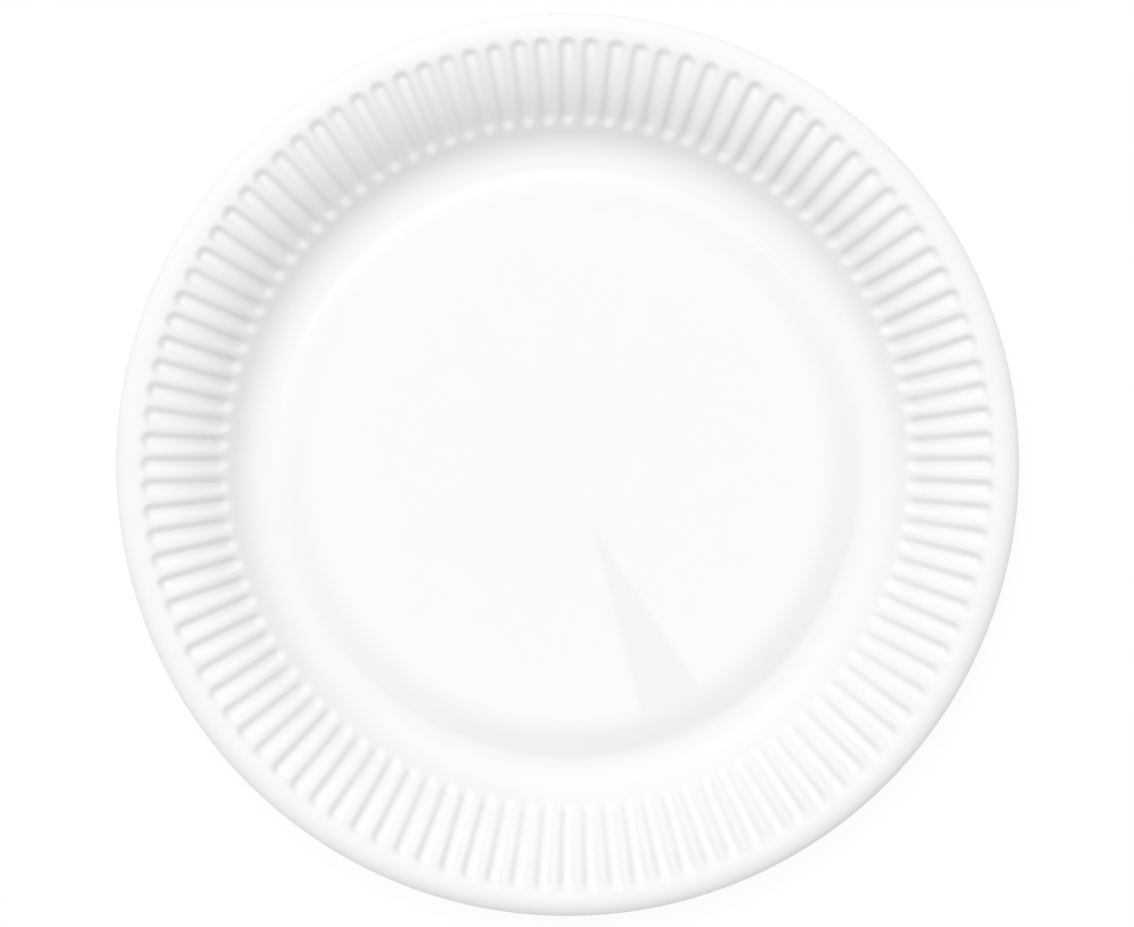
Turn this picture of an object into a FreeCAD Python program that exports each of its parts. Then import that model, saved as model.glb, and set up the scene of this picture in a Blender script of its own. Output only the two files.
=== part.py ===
import FreeCAD, Part
import math
import os

# Paper plate, in millimetres. One sheet of board is pressed into a raised floor panel,
# a foot ring, a wall and a fluted rim whose edge is rolled down.
# The origin is the centre of the foot's underside, and Z points up.

# Whole plate
plate_diameter = 230.0
crest_height = 16.0
board_thickness = 0.5

# Floor panel, the soft step round it and the flat ring that the plate stands on
panel_lift = 2.25
step_top_radius = 22.0
step_foot_radius = 6.0
step_chord_count = 2
foot_width = 1.2

# Wall, from the bend at its foot to the shoulder that ends on the crest
wall_slope = 42.0
wall_bend_radius = 11.3
wall_chord_count = 2
shoulder_radius = 28.5
shoulder_chord_count = 2

# Rolled edge, a wide brow and then a tighter lip, with slopes counted down from level
brow_radius = 6.2
brow_slope = 26.0
brow_chord_count = 1
lip_radius = 4.5
lip_slope = 55.0
lip_chord_count = 2

# Flutes, flat-floored pockets pressed down into the wall and the shoulder.
# They start a little way up the straight part of the wall, at the setback from its foot.
# The drop and the push hold at the inner end, and a flute widens and deepens with its radius.
flute_count = 108
flute_setback = 0.9
mouth_share = 0.74
floor_share = 0.30
flute_drop = 0.72
flute_push = 0.64
flute_end_slope = 2.6
inner_ramp = 2.5
outer_ramp = 1.6

# Angles worked out from the above
pitch_angle = 2 * math.pi / flute_count
mouth_half_angle = mouth_share * pitch_angle / 2
floor_half_angle = floor_share * pitch_angle / 2
steep = math.radians(wall_slope)
step_steep = math.acos(1 - panel_lift / (step_top_radius + step_foot_radius))
brow_down = math.radians(brow_slope)
lip_down = math.radians(lip_slope)
flute_end = math.radians(flute_end_slope)

# Radii and heights on the upper face, worked out from the rim inwards
brow_reach = brow_radius * math.sin(brow_down)
lip_reach = lip_radius * (math.sin(lip_down) - math.sin(brow_down))
crest_r = plate_diameter / 2 - brow_reach - lip_reach
wall_top_z = crest_height - shoulder_radius * (1 - math.cos(steep))
wall_foot_z = board_thickness + wall_bend_radius * (1 - math.cos(steep))
wall_top_r = crest_r - shoulder_radius * math.sin(steep)
wall_foot_r = wall_top_r - (wall_top_z - wall_foot_z) / math.tan(steep)
foot_outer_r = wall_foot_r - wall_bend_radius * math.sin(steep)
foot_inner_r = foot_outer_r - foot_width
panel_r = foot_inner_r - (step_top_radius + step_foot_radius) * math.sin(step_steep)
flute_start_r = wall_foot_r + flute_setback
flute_start_z = wall_foot_z + flute_setback * math.tan(steep)
floor_stretch = flute_push / flute_start_r
floor_fall = flute_drop / flute_start_r


def bend(centre_r, centre_z, radius, start_slope, end_slope, chords):
    """Stations (r, z, slope) on an arc. The radius is negative if the centre is above."""
    stations = []
    for i in range(chords + 1):
        slope = start_slope + (end_slope - start_slope) * i / chords
        r = centre_r - radius * math.sin(slope)
        z = centre_z + radius * math.cos(slope)
        stations.append((r, z, slope))
    return stations


def beneath(stations, depth):
    """The same stations moved square to the sheet, down by depth."""
    lowered = []
    for r, z, slope in stations:
        lowered.append((r + depth * math.sin(slope), z - depth * math.cos(slope), slope))
    return lowered


def at(station, turn):
    r, z, _ = station
    return FreeCAD.Vector(r * math.cos(turn), r * math.sin(turn), z)


def sunk(station):
    """The station on a flute's floor. It moves in proportion to r, so the sides stay flat."""
    r, z, slope = station
    return (r * (1 + floor_stretch), z - r * floor_fall, slope)


def facet(*corners):
    return Part.Face(Part.makePolygon(list(corners) + [corners[0]]))


def strip(inner, outer):
    """One pitch of a plain ring."""
    return facet(
        at(inner, 0), at(outer, 0), at(outer, pitch_angle), at(inner, pitch_angle)
    )


def fan(plain, fluted):
    """One pitch of the ring between a plain station and the mouths of the flutes."""
    near = mouth_half_angle
    far = pitch_angle - mouth_half_angle
    land = facet(at(plain, 0), at(fluted, near), at(fluted, far), at(plain, pitch_angle))
    web = facet(at(plain, 0), at(fluted, -near), at(fluted, near))
    return [land, web]


def floor_edge(stations, turn):
    """The corners along one side of a flute's floor, with its ends drawn in by the ramps."""
    edge = [at(sunk(station), turn) for station in stations]
    edge[0] += (edge[1] - edge[0]).normalize() * inner_ramp
    edge[-1] += (edge[-2] - edge[-1]).normalize() * outer_ramp
    return edge


def flute(stations):
    """One flute with the land beside it, through all the stations of its length."""
    left, right = [floor_edge(stations, turn) for turn in (floor_half_angle, -floor_half_angle)]
    near = mouth_half_angle
    far = pitch_angle - mouth_half_angle
    faces = []
    for i in range(len(stations) - 1):
        inner = stations[i]
        outer = stations[i + 1]
        faces.append(facet(at(inner, near), at(outer, near), at(outer, far), at(inner, far)))
        faces.append(facet(at(inner, near), at(outer, near), left[i + 1], left[i]))
        faces.append(facet(left[i], left[i + 1], right[i + 1], right[i]))
        faces.append(facet(at(inner, -near), at(outer, -near), right[i + 1], right[i]))
    for end in (0, -1):
        mouth = stations[end]
        faces.append(facet(at(mouth, near), at(mouth, -near), right[end], left[end]))
    return faces


def ring_wire(station):
    corners = [at(station, i * pitch_angle) for i in range(flute_count)]
    return Part.makePolygon(corners + [corners[0]])


# Stations of the upper face, from the panel's edge to the cut edge of the board
step_top = board_thickness + panel_lift
panel_bend = bend(
    panel_r, step_top - step_top_radius, step_top_radius, 0, -step_steep, step_chord_count
)
foot_bend = bend(
    foot_inner_r,
    board_thickness + step_foot_radius,
    -step_foot_radius,
    -step_steep,
    0,
    step_chord_count,
)
# The two bends of the step share one straight chord, so their meeting point is left out
step = panel_bend[:-1] + foot_bend[1:]
wall_bend = bend(
    foot_outer_r,
    board_thickness + wall_bend_radius,
    -wall_bend_radius,
    0,
    steep,
    wall_chord_count,
)
flute_start = (flute_start_r, flute_start_z, steep)
shoulder = bend(
    crest_r, crest_height - shoulder_radius, shoulder_radius, steep, flute_end, shoulder_chord_count
)
brow = bend(crest_r, crest_height - brow_radius, brow_radius, 0, -brow_down, brow_chord_count)
lip = bend(
    crest_r + (brow_radius - lip_radius) * math.sin(brow_down),
    crest_height - brow_radius + (brow_radius - lip_radius) * math.cos(brow_down),
    lip_radius,
    -brow_down,
    -lip_down,
    lip_chord_count,
)

# Both faces of the board, each as a floor panel, a foot ring and one pitch of the rest
whole = []
pitch = []
cut_edge = []
for depth in (0, board_thickness):
    step_side = beneath(step, depth)
    wall_side = beneath(wall_bend, depth)
    flute_side = beneath([flute_start] + shoulder, depth)
    rim_side = beneath(brow + lip[1:], depth)
    whole.append(Part.Face(ring_wire(step_side[0])))
    whole.append(Part.Face([ring_wire(wall_side[0]), ring_wire(step_side[-1])]))
    for plain in (step_side, wall_side, rim_side):
        for inner, outer in zip(plain, plain[1:]):
            pitch.append(strip(inner, outer))
    pitch += fan(wall_side[-1], flute_side[0])
    pitch += flute(flute_side)
    pitch += fan(rim_side[0], flute_side[-1])
    cut_edge.append(rim_side[-1])
pitch.append(strip(cut_edge[0], cut_edge[1]))

for i in range(flute_count):
    turn = FreeCAD.Rotation(FreeCAD.Vector(0, 0, 1), math.degrees(i * pitch_angle))
    whole += [face.transformed(FreeCAD.Placement(FreeCAD.Vector(), turn).Matrix) for face in pitch]

sheet = Part.Compound(whole)
sheet.sewShape()
plate = Part.Solid(sheet.Shells[0])
if plate.Volume < 0:
    plate.reverse()

os.makedirs("parts", exist_ok=True)
plate.exportStep("parts/plate.step")
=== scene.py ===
import bpy
import numpy as np
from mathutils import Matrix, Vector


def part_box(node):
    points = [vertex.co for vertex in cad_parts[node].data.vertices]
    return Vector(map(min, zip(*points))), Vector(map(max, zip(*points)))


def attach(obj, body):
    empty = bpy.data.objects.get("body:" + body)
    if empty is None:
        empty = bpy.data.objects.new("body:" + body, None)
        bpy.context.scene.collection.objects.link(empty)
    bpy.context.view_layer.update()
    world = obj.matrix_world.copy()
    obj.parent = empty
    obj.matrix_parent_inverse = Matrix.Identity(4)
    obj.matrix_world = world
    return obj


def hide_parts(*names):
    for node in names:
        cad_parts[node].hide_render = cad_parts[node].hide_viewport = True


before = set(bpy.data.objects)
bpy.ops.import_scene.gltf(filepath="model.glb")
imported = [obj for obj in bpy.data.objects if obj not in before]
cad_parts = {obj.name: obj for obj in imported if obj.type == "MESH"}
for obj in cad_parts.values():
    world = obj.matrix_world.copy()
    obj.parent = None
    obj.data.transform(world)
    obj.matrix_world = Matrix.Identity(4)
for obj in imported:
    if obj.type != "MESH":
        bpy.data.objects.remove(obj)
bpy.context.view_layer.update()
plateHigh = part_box("plate")[1]

# Metres throughout. The plate stands on z = 0 and is seen from straight above, with +Y up in the picture.


# Plate
plateShape = {
    "rimRadius": float(plateHigh[0]),
    "crestHeight": float(plateHigh[2]),
    "boardThickness": 0.0005,
    "panelLift": 0.00225,       # how far the flat middle stands above the foot ring
    "stepTopRadius": 0.022,     # the soft step round the middle, its upper bend and its lower one
    "stepFootRadius": 0.006,
    "footWidth": 0.0012,
    "wallSlope": 42.0,
    "wallBendRadius": 0.0113,
    "shoulderRadius": 0.0285,
    "browRadius": 0.0062,       # wide first turn of the rolled edge
    "browSlope": 26.0,
    "lipRadius": 0.0045,        # tight last turn of it
    "lipSlope": 55.0,
    "cutRounding": 0.00012,     # worn corners of the cut edge
}

fluteShape = {
    "count": 108,
    "setback": 0.0009,          # from the foot of the wall's straight part, measured level
    "mouthShare": 0.90,         # of the pitch, where the side starts to fall
    "sideShare": 0.37,          # of the pitch, width of one side
    "cornerShare": 0.43,        # of the pitch, radius of the pocket's corners in plan
    "innerDepth": 0.0009,
    "outerDepth": 0.0014,
    "deepening": 2.2,           # power of the way along at which it grows from one to the other
    "innerRamp": 0.0034,
    "outerRamp": 0.0027,
    "endSlope": 2.6,            # the shoulder's slope where the pockets end
    "depthSpread": 0.1,         # how much the depth differs from flute to flute
    "skewSpread": 1.3,          # degrees that a flute may stand off the radius
    "crowding": 0.25,           # draws the columns in towards the pockets' sides
    "seed": 7,
}

meshDetail = {
    "fluteColumns": 16,         # columns are counted per flute
    "fluteColumnsBelow": 8,
    "rimColumns": 4,
    "plainColumns": 2,
    "plainColumnsBelow": 1,
    "firstRadius": 0.004,       # of the innermost ring
    "panelRings": 14,
    "stepRings": 8,             # for each of its two bends
    "wallRings": 10,
    "slantSamples": 400,        # fine points of the section, from which the flutes' rings are taken
    "rampShare": 1.15,          # the close rings cover this many lengths of each ramp
    "rampRings": 8,
    "middleRings": 11,
    "rampRingsBelow": 6,
    "middleRingsBelow": 7,
    "browRings": 6,
    "lipRings": 7,
    "lipSupport": 0.02,         # radians from the lip's end to a ring that keeps the shading crisp there
    "ringStepBelow": 2,         # under the middle and the wall bend, every second ring will do
}


def bendRings(centreRadius, centreHeight, radius, slopes):
    # An arc by its slopes: r = centre - radius * sin(slope), z = centre + radius * cos(slope).
    # A negative radius bends upwards.
    slopes = np.asarray(slopes, float)
    return np.column_stack([
        centreRadius - radius * np.sin(slopes),
        centreHeight + radius * np.cos(slopes),
        slopes,
    ])


def lineRings(start, end, count):
    # evenly spaced from start to end, leaving the end out
    share = np.arange(count)[:, None] / count
    return start + (end - start) * share


def profileRings(shape, flute, detail):
    # the upper face in section as rows of (r, z, slope), in three stretches from the middle to the lip
    thickness = shape["boardThickness"]
    crestZ = shape["crestHeight"]
    steep, brow, lip = np.radians([shape["wallSlope"], shape["browSlope"], shape["lipSlope"]])
    wallBend = shape["wallBendRadius"]
    shoulder = shape["shoulderRadius"]
    stepTop = shape["stepTopRadius"]
    stepFoot = shape["stepFootRadius"]
    browRadius = shape["browRadius"]
    lipRadius = shape["lipRadius"]

    # the rolled edge and the wall, worked out from the rim inwards
    crestR = shape["rimRadius"] - browRadius * np.sin(brow) - lipRadius * (np.sin(lip) - np.sin(brow))
    wallTopR = crestR - shoulder * np.sin(steep)
    wallTopZ = crestZ - shoulder * (1 - np.cos(steep))
    wallFootZ = thickness + wallBend * (1 - np.cos(steep))
    wallFootR = wallTopR - (wallTopZ - wallFootZ) / np.tan(steep)
    lipCentreR = crestR + (browRadius - lipRadius) * np.sin(brow)
    lipCentreZ = crestZ - browRadius + (browRadius - lipRadius) * np.cos(brow)

    # the foot ring, the step and the panel
    footOuter = wallFootR - wallBend * np.sin(steep)
    footInner = footOuter - shape["footWidth"]
    turn = np.arccos(1 - shape["panelLift"] / (stepTop + stepFoot))
    panelR = footInner - (stepTop + stepFoot) * np.sin(turn)
    panelZ = thickness + shape["panelLift"]

    panelStart = np.array([detail["firstRadius"], panelZ, 0])
    panelEnd = np.array([panelR, panelZ, 0])
    stepDown = np.linspace(0, -turn, detail["stepRings"])
    stepUp = np.linspace(-turn, 0, detail["stepRings"])[1:]
    middle = np.vstack([
        lineRings(panelStart, panelEnd, detail["panelRings"]),
        bendRings(panelR, panelZ - stepTop, stepTop, stepDown),
        bendRings(footInner, thickness + stepFoot, -stepFoot, stepUp),
        bendRings(footOuter, thickness + wallBend, -wallBend, np.linspace(0, steep, detail["wallRings"])),
    ])

    fluteStart = np.array([wallFootR + flute["setback"], wallFootZ + flute["setback"] * np.tan(steep), steep])
    endSlope = np.radians(flute["endSlope"])
    slant = np.vstack([
        fluteStart,
        bendRings(crestR, crestZ - shoulder, shoulder, np.linspace(steep, endSlope, detail["slantSamples"])),
    ])

    lipSlopes = np.linspace(-brow, -lip, detail["lipRings"])[1:-1]
    lipSlopes = np.append(lipSlopes, [detail["lipSupport"] - lip, -lip])
    brim = np.vstack([
        bendRings(crestR, crestZ - browRadius, browRadius, np.linspace(0, -brow, detail["browRings"])),
        bendRings(lipCentreR, lipCentreZ, lipRadius, lipSlopes),
    ])
    return middle, slant, brim


def distanceAlong(slant):
    # from the first point of a section to each of its points
    return np.concatenate([[0], np.cumsum(np.hypot(*np.diff(slant[:, :2], axis=0).T))])


def spacedRings(slant, marks):
    # rings at the given distances along the slant
    run = distanceAlong(slant)
    return np.column_stack([np.interp(marks, run, slant[:, k]) for k in range(3)])


def slantMarks(length, flute, share, ends, between):
    # close together over both ramps of the pockets and wider between them
    first = flute["innerRamp"] * share
    last = length - flute["outerRamp"] * share
    return np.concatenate([
        np.linspace(0, first, ends)[:-1],
        np.linspace(first, last, between)[:-1],
        np.linspace(last, length, ends),
    ])


def smoothStep(value):
    share = np.clip(value, 0, 1)
    return share ** 2 * (3 - 2 * share)


def pocketDepth(marks, length, radius, turns, flute, eases, skews):
    # How far the sheet is sunk at each ring and turn. The distance inside a round-cornered outline,
    # as a share of the side's width, goes through a smooth step from 0 at the mouth to 1 on the floor.
    phase = turns * flute["count"] / (2 * np.pi)
    nearest = np.round(phase)
    number = nearest.astype(int) % flute["count"]
    pitch = 2 * np.pi * radius / flute["count"]
    side = flute["sideShare"] * pitch[:, None]
    corner = flute["cornerShare"] * pitch[:, None]
    sway = np.tan(skews[number]) * (marks[:, None] - length / 2)
    across = flute["mouthShare"] / 2 * pitch[:, None] - np.abs((phase - nearest) * pitch[:, None] - sway)
    inner = marks[:, None] * side / flute["innerRamp"]
    outer = (length - marks)[:, None] * side / flute["outerRamp"]
    along = np.minimum(inner, outer)
    inside = corner - np.hypot(np.maximum(corner - across, 0), np.maximum(corner - along, 0))
    gain = (marks[:, None] / length) ** flute["deepening"]
    depth = flute["innerDepth"] + (flute["outerDepth"] - flute["innerDepth"]) * gain
    return smoothStep(inside / side) * depth * eases[number]


def ringPoints(rings, turns, sunk, below):
    # each ring carried round the axis; sunk and below move a point down, square to the sheet
    r, z, slope = rings.T[:, :, None]
    down = sunk + below
    radial = r + down * np.sin(slope)
    x = radial * np.cos(turns)
    y = radial * np.sin(turns)
    height = np.broadcast_to(z - down * np.cos(slope), x.shape)
    return np.stack([x, y, height], axis=-1)


def ringTurns(columns, flute):
    # The columns are drawn towards a quarter pitch either side of each flute's middle.
    # A sine that repeats every half pitch is added to their even places.
    even = np.arange(columns) * flute["count"] / columns
    drawn = even + flute["crowding"] * np.sin(4 * np.pi * even) / (4 * np.pi)
    return drawn * 2 * np.pi / flute["count"]


def bridge(first, second):
    # Faces between two neighbouring rings of point numbers. Equal rings give four-cornered faces.
    # Where one ring has several points to each of the other's, every face takes them all.
    fine, coarse = (first, second) if len(first) >= len(second) else (second, first)
    ratio = len(fine) // len(coarse)
    fineRuns = np.column_stack([np.roll(fine, -k)[::ratio] for k in range(ratio + 1)])
    faces = np.column_stack([fineRuns[:, ::-1], coarse, np.roll(coarse, -1)])
    return faces if fine is first else faces[:, ::-1]


def buildPlate(shape, flute, detail):
    count = flute["count"]
    rng = np.random.default_rng(flute["seed"])
    eases = 1 + flute["depthSpread"] * (rng.random(count) * 2 - 1)
    skews = np.radians(flute["skewSpread"]) * (rng.random(count) * 2 - 1)
    middle, slant, brim = profileRings(shape, flute, detail)
    length = distanceAlong(slant)[-1]
    thickness = shape["boardThickness"]
    points = []
    rings = []

    def addRings(block):
        # one block of shape (rings, columns, 3) becomes rows of point numbers
        start = sum(len(p) for p in points)
        rows, columns = block.shape[:2]
        points.append(block.reshape(-1, 3))
        rings.extend(start + np.arange(rows * columns).reshape(rows, columns))

    def addPlain(stretch, columns, below):
        addRings(ringPoints(stretch, ringTurns(columns * count, flute), 0, below))

    def fluteBlock(ends, between, columns, below):
        marks = slantMarks(length, flute, detail["rampShare"], ends, between)
        band = spacedRings(slant, marks)
        turns = ringTurns(columns * count, flute)
        sunk = pocketDepth(marks, length, band[:, 0], turns, flute, eases, skews)
        return ringPoints(band, turns, sunk, below)

    # the upper face outwards, round the cut edge, and back along the underside
    addPlain(middle, detail["plainColumns"], 0)
    addRings(fluteBlock(detail["rampRings"], detail["middleRings"], detail["fluteColumns"], 0))
    addPlain(brim, detail["rimColumns"], 0)
    for below in (shape["cutRounding"], thickness - shape["cutRounding"]):
        addPlain(brim[-1:], detail["rimColumns"], below)
    addPlain(brim[::-1], detail["rimColumns"], thickness)
    underside = fluteBlock(
        detail["rampRingsBelow"], detail["middleRingsBelow"], detail["fluteColumnsBelow"], thickness
    )
    addRings(underside[::-1])
    addPlain(middle[::-1][::detail["ringStepBelow"]], detail["plainColumnsBelow"], thickness)

    faces = []
    for first, second in zip(rings, rings[1:]):
        faces.extend(bridge(first, second).tolist())

    # the two middles are closed with one point each
    total = sum(len(p) for p in points)
    panelZ = middle[0, 1]
    points.append(np.array([[0, 0, panelZ], [0, 0, panelZ - thickness]]))
    for ring, pole, turnedOver in ((rings[0], total, False), (rings[-1], total + 1, True)):
        cap = np.column_stack([ring, np.roll(ring, -1), np.full(len(ring), pole)])
        faces.extend((cap[:, ::-1] if turnedOver else cap).tolist())

    mesh = bpy.data.meshes.new("pressedPlate")
    mesh.from_pydata(np.vstack(points).tolist(), [], faces)
    mesh.validate()
    mesh.shade_smooth()
    plate = bpy.data.objects.new("pressedPlate", mesh)
    bpy.context.collection.objects.link(plate)
    return plate


plate = buildPlate(plateShape, fluteShape, meshDetail)
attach(plate, "root")
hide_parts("plate")
print("plate:", len(plate.data.vertices), "points,", len(plate.data.polygons), "faces")


# Board material
boardFinish = {
    "colour": (0.919, 0.919, 0.919),
    "roughness": 0.62,
    "gloss": 0.25,
    # painted shade, in rows of two radii and a tone: between the radii the tone changes to the new one,
    # starting from 1
    "paintedShadeTones": ((0.0642, 0.0712, 0.946), (0.0765, 0.083, 0.962), (0.1075, 0.1095, 1.0)),
    "fibreScale": 900.0,
    # two layers of fibres along Y: the turn makes them differ, and the scale along Y makes them long
    "fibreLays": ((25, 0.12), (-50, 0.15)),
    "fibreDetail": 2,
    "fibreRoughness": 0.6,
    "fibreDistortion": 0.8,
    "fibreWeight": 0.7,
    "fibreHeight": 0.00002,
    "bumpStrength": 0.5,
    "grainFineness": 2.2,                       # times the scale of the fibres
    "grainRoughness": 0.5,
    "grainWeight": 0.3,
    "cloudScale": 90.0,
    "cloudDetail": 3,
    "cloudRoughness": 0.55,
    "cloudTone": 0.012,
    "markTone": 0.957,                          # the faint wedge on the middle panel
    "markApex": (0.0069, -0.0170, 0.0),
    "markTurn": 66.0,                           # degrees its axis turns down from +X
    "markHalfAngle": 9.8,
    "markSoftness": 0.0016,                     # width over which its edges fade
    "markEnd": 0.0675,                          # distance from the plate's centre
    "markEndSoftness": 0.004,                   # width over which it fades into the step
    "markAbove": 0.0025,                        # above this height only, on the panel's upper face
}


def newGroup(name, inputs, outputs):
    group = bpy.data.node_groups.new(name, "ShaderNodeTree")
    for socketName, kind in inputs.items():
        group.interface.new_socket(socketName, in_out="INPUT", socket_type="NodeSocket" + kind)
    for socketName, kind in outputs.items():
        group.interface.new_socket(socketName, in_out="OUTPUT", socket_type="NodeSocket" + kind)
    return group, group.nodes.new("NodeGroupInput"), group.nodes.new("NodeGroupOutput")


def groupNode(tree, group, values):
    node = tree.nodes.new("ShaderNodeGroup")
    node.node_tree = group
    for socketName, value in values.items():
        node.inputs[socketName].default_value = value
    return node


def mathNode(tree, operation, a, b=None, c=None, clamp=False):
    node = tree.nodes.new("ShaderNodeMath")
    node.operation = operation
    node.use_clamp = clamp
    for socket, value in zip(node.inputs, (a, b, c)):
        if isinstance(value, bpy.types.NodeSocket):
            tree.links.new(value, socket)
        elif value is not None:
            socket.default_value = value
    return node.outputs[0]


def noiseNode(tree, vector, scale, detail, roughness, distortion=0.0):
    node = tree.nodes.new("ShaderNodeTexNoise")
    node.inputs["Detail"].default_value = detail
    node.inputs["Roughness"].default_value = roughness
    node.inputs["Distortion"].default_value = distortion
    tree.links.new(vector, node.inputs["Vector"])
    tree.links.new(scale, node.inputs["Scale"])
    return node.outputs["Fac"]


def vectorNode(tree, operation, vector, value=None):
    node = tree.nodes.new("ShaderNodeVectorMath")
    node.operation = operation
    tree.links.new(vector, node.inputs[0])
    if value is not None:
        node.inputs[1].default_value = value
    return node


def fibreGroup(finish):
    # long fibres over a fine grain, and slow clouds in the board's density
    group, start, end = newGroup(
        "boardFibres",
        {"Vector": "Vector", "Fibre Scale": "Float", "Cloud Scale": "Float"},
        {"Height": "Float", "Cloud": "Float"},
    )
    place = start.outputs["Vector"]
    fibreScale = start.outputs["Fibre Scale"]
    detail = finish["fibreDetail"]
    roughness = finish["fibreRoughness"]
    distortion = finish["fibreDistortion"]
    layers = []
    for angle, stretch in finish["fibreLays"]:
        lay = group.nodes.new("ShaderNodeMapping")
        lay.inputs["Rotation"].default_value = (0, 0, np.radians(angle))
        lay.inputs["Scale"].default_value = (1, stretch, 1)
        group.links.new(place, lay.inputs["Vector"])
        layers.append(noiseNode(group, lay.outputs[0], fibreScale, detail, roughness, distortion))
    fibres = mathNode(group, "MULTIPLY", mathNode(group, "MAXIMUM", *layers), finish["fibreWeight"])
    grainScale = mathNode(group, "MULTIPLY", fibreScale, finish["grainFineness"])
    grain = noiseNode(group, place, grainScale, detail, finish["grainRoughness"])
    grain = mathNode(group, "MULTIPLY", grain, finish["grainWeight"])
    height = mathNode(group, "ADD", fibres, grain)
    cloudScale = start.outputs["Cloud Scale"]
    cloud = noiseNode(group, place, cloudScale, finish["cloudDetail"], finish["cloudRoughness"])
    group.links.new(height, end.inputs["Height"])
    group.links.new(cloud, end.inputs["Cloud"])
    return group


def wedgeGroup():
    # 1 inside a soft-edged wedge that opens along +X from the origin, 0 outside
    group, start, end = newGroup(
        "faintWedge",
        {"Vector": "Vector", "Half Angle": "Float", "Softness": "Float"},
        {"Mask": "Float"},
    )
    split = group.nodes.new("ShaderNodeSeparateXYZ")
    group.links.new(start.outputs["Vector"], split.inputs[0])
    halfAngle = start.outputs["Half Angle"]
    along = mathNode(group, "MULTIPLY", split.outputs["X"], mathNode(group, "SINE", halfAngle))
    aside = mathNode(group, "ABSOLUTE", split.outputs["Y"])
    aside = mathNode(group, "MULTIPLY", aside, mathNode(group, "COSINE", halfAngle))
    inside = mathNode(group, "SUBTRACT", along, aside)
    inside = mathNode(group, "DIVIDE", inside, start.outputs["Softness"])
    mask = mathNode(group, "ADD", inside, 0.5, clamp=True)
    group.links.new(mask, end.inputs["Mask"])
    return group


def wedgeMark(tree, place, reach, finish):
    # the wedge's own axes put its apex at the origin and let it open along +X
    offset = vectorNode(tree, "SUBTRACT", place, finish["markApex"])
    turned = tree.nodes.new("ShaderNodeMapping")
    turned.inputs["Rotation"].default_value = (0, 0, np.radians(finish["markTurn"]))
    tree.links.new(offset.outputs[0], turned.inputs["Vector"])
    wedge = groupNode(tree, wedgeGroup(), {
        "Half Angle": np.radians(finish["markHalfAngle"]),
        "Softness": finish["markSoftness"],
    })
    tree.links.new(turned.outputs[0], wedge.inputs["Vector"])

    # it fades out at the panel's edge and shows on the upper face only
    fade = 1 / finish["markEndSoftness"]
    within = mathNode(tree, "MULTIPLY_ADD", reach, -fade, 0.5 + fade * finish["markEnd"], clamp=True)
    split = tree.nodes.new("ShaderNodeSeparateXYZ")
    tree.links.new(place, split.inputs[0])
    above = mathNode(tree, "GREATER_THAN", split.outputs["Z"], finish["markAbove"])
    mark = mathNode(tree, "MULTIPLY", mathNode(tree, "MULTIPLY", wedge.outputs["Mask"], within), above)
    return mathNode(tree, "MULTIPLY_ADD", mark, finish["markTone"] - 1, 1.0)


def paintedShade(tree, reach, bands):
    # Painted shade: the board is made darker from the step outwards, a little less so from the foot of the
    # wall, and full again at the rim.
    # The changes of tone are multiplied, so each is made against the tone before it.
    total = None
    before = 1.0
    for start, end, after in bands:
        change = tree.nodes.new("ShaderNodeMapRange")
        change.interpolation_type = "SMOOTHSTEP"
        change.inputs["From Min"].default_value = start
        change.inputs["From Max"].default_value = end
        change.inputs["To Min"].default_value = 1.0
        change.inputs["To Max"].default_value = after / before
        tree.links.new(reach, change.inputs["Value"])
        factor = change.outputs["Result"]
        total = factor if total is None else mathNode(tree, "MULTIPLY", total, factor)
        before = after
    return total


def boardMaterial(finish):
    material = bpy.data.materials.new("whiteBoard")
    material.use_nodes = True
    tree = material.node_tree
    shader = tree.nodes["Principled BSDF"]
    shader.inputs["Roughness"].default_value = finish["roughness"]
    shader.inputs["Specular IOR Level"].default_value = finish["gloss"]
    place = tree.nodes.new("ShaderNodeTexCoord").outputs["Object"]

    fibres = groupNode(tree, fibreGroup(finish), {
        "Fibre Scale": finish["fibreScale"],
        "Cloud Scale": finish["cloudScale"],
    })
    tree.links.new(place, fibres.inputs["Vector"])

    # the distance from the plate's axis
    level = vectorNode(tree, "MULTIPLY", place, (1, 1, 0))
    reach = vectorNode(tree, "LENGTH", level.outputs[0]).outputs["Value"]

    cloud = finish["cloudTone"]
    cloudTone = mathNode(tree, "MULTIPLY_ADD", fibres.outputs["Cloud"], cloud, 1 - cloud / 2)
    tone = mathNode(tree, "MULTIPLY", wedgeMark(tree, place, reach, finish), cloudTone)
    # painted shade over the bent band of the board, from the step to the rim
    tone = mathNode(tree, "MULTIPLY", tone, paintedShade(tree, reach, finish["paintedShadeTones"]))
    paint = tree.nodes.new("ShaderNodeVectorMath")
    paint.operation = "SCALE"
    paint.inputs[0].default_value = finish["colour"]
    tree.links.new(tone, paint.inputs["Scale"])
    tree.links.new(paint.outputs[0], shader.inputs["Base Color"])

    bump = tree.nodes.new("ShaderNodeBump")
    bump.inputs["Distance"].default_value = finish["fibreHeight"]
    bump.inputs["Strength"].default_value = finish["bumpStrength"]
    tree.links.new(fibres.outputs["Height"], bump.inputs["Height"])
    tree.links.new(bump.outputs["Normal"], shader.inputs["Normal"])
    return material


plate.data.materials.append(boardMaterial(boardFinish))
print("board material done")


# Floor, light and camera
studio = {
    "floorSize": 4.0,
    "floorColour": (0.9, 0.9, 0.9, 1),
    "floorRoughness": 0.9,
    "floorGloss": 0.0,
    "floorGlow": 0.93,          # share of the floor that the camera sees as plain white
    "glowStrength": 1.01,
    "keyStrength": 2.17,
    "keyTilt": 20.0,            # degrees from the zenith
    "keySoftness": 40.0,        # degrees across the sun's disc
    "keyTowards": (-0.40, 0.917),   # the side that the light comes from, in plan
    "skyColour": (1, 1, 1, 1),
    "skyStrength": 0.365,
}

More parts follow.
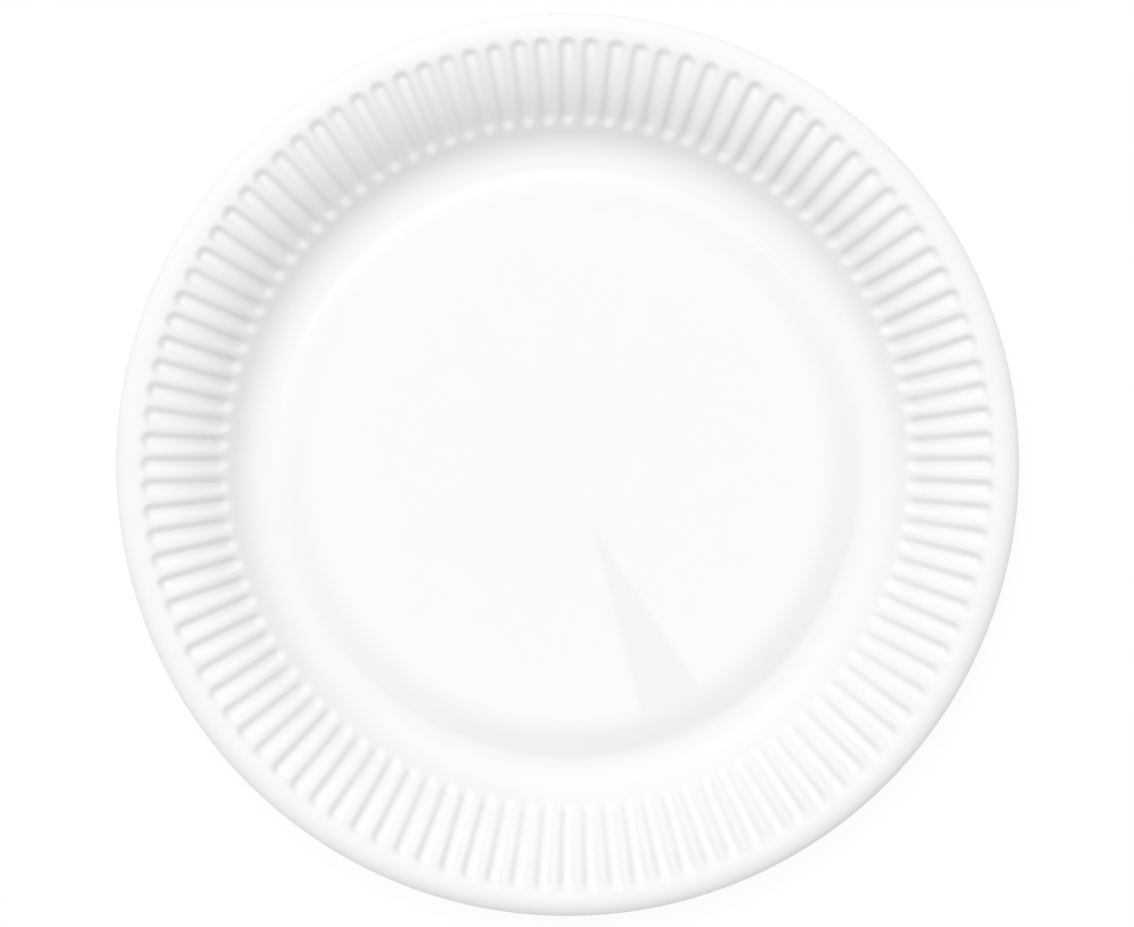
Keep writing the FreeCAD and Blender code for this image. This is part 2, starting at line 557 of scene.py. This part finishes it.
viewPoint = {
    "distance": 1.3,
    "centre": (-0.000155, 0.000244),
    "frameWidth": 0.2891,       # of the picture, at the height of the plate's edge
    "edgeHeight": 0.013,
    "sensor": 36.0,
}


def seenRays(tree):
    # 1 for what the camera sees, directly, in a gloss or through something clear
    path = tree.nodes.new("ShaderNodeLightPath")
    glossy = mathNode(tree, "MAXIMUM", path.outputs["Is Glossy Ray"], path.outputs["Is Transmission Ray"])
    return mathNode(tree, "MAXIMUM", path.outputs["Is Camera Ray"], glossy)


def buildFloor(setting):
    half = setting["floorSize"] / 2
    corners = [(-half, -half, 0), (half, -half, 0), (half, half, 0), (-half, half, 0)]
    mesh = bpy.data.meshes.new("paleFloor")
    mesh.from_pydata(corners, [], [(0, 1, 2, 3)])
    floor = bpy.data.objects.new("paleFloor", mesh)
    bpy.context.collection.objects.link(floor)
    material = bpy.data.materials.new("paleFloor")
    material.use_nodes = True
    tree = material.node_tree
    shader = tree.nodes["Principled BSDF"]
    shader.inputs["Base Color"].default_value = setting["floorColour"]
    shader.inputs["Roughness"].default_value = setting["floorRoughness"]
    shader.inputs["Specular IOR Level"].default_value = setting["floorGloss"]
    glow = tree.nodes.new("ShaderNodeEmission")
    glow.inputs["Strength"].default_value = setting["glowStrength"]
    mix = tree.nodes.new("ShaderNodeMixShader")
    tree.links.new(mathNode(tree, "MULTIPLY", seenRays(tree), setting["floorGlow"]), mix.inputs["Fac"])
    tree.links.new(shader.outputs[0], mix.inputs[1])
    tree.links.new(glow.outputs[0], mix.inputs[2])
    tree.links.new(mix.outputs[0], tree.nodes["Material Output"].inputs["Surface"])
    mesh.materials.append(material)
    return floor


def buildSky(setting):
    # seen rays meet plain white, and all others meet the sky's own strength
    world = bpy.data.worlds.new("studioSky")
    world.use_nodes = True
    tree = world.node_tree
    background = tree.nodes["Background"]
    background.inputs["Color"].default_value = setting["skyColour"]
    dim = setting["skyStrength"]
    strength = mathNode(tree, "MULTIPLY_ADD", seenRays(tree), 1 - dim, dim)
    tree.links.new(strength, background.inputs["Strength"])
    bpy.context.scene.world = world


def buildKey(setting):
    light = bpy.data.lights.new("softKey", "SUN")
    light.energy = setting["keyStrength"]
    light.angle = np.radians(setting["keySoftness"])
    key = bpy.data.objects.new("softKey", light)
    x, y = setting["keyTowards"]
    # a sun shines along its own -Z, so it is tipped from straight down towards its side
    key.rotation_euler = (np.radians(setting["keyTilt"]), 0, np.arctan2(y, x) + np.pi / 2)
    bpy.context.collection.objects.link(key)


def buildCamera(view):
    lens = bpy.data.cameras.new("overhead")
    lens.sensor_width = view["sensor"]
    lens.lens = view["sensor"] * (view["distance"] - view["edgeHeight"]) / view["frameWidth"]
    camera = bpy.data.objects.new("overhead", lens)
    camera.location = (*view["centre"], view["distance"])
    bpy.context.collection.objects.link(camera)
    bpy.context.scene.camera = camera


floor = buildFloor(studio)
buildSky(studio)
buildKey(studio)
buildCamera(viewPoint)
bpy.context.scene.view_settings.view_transform = "Standard"
print("studio done")
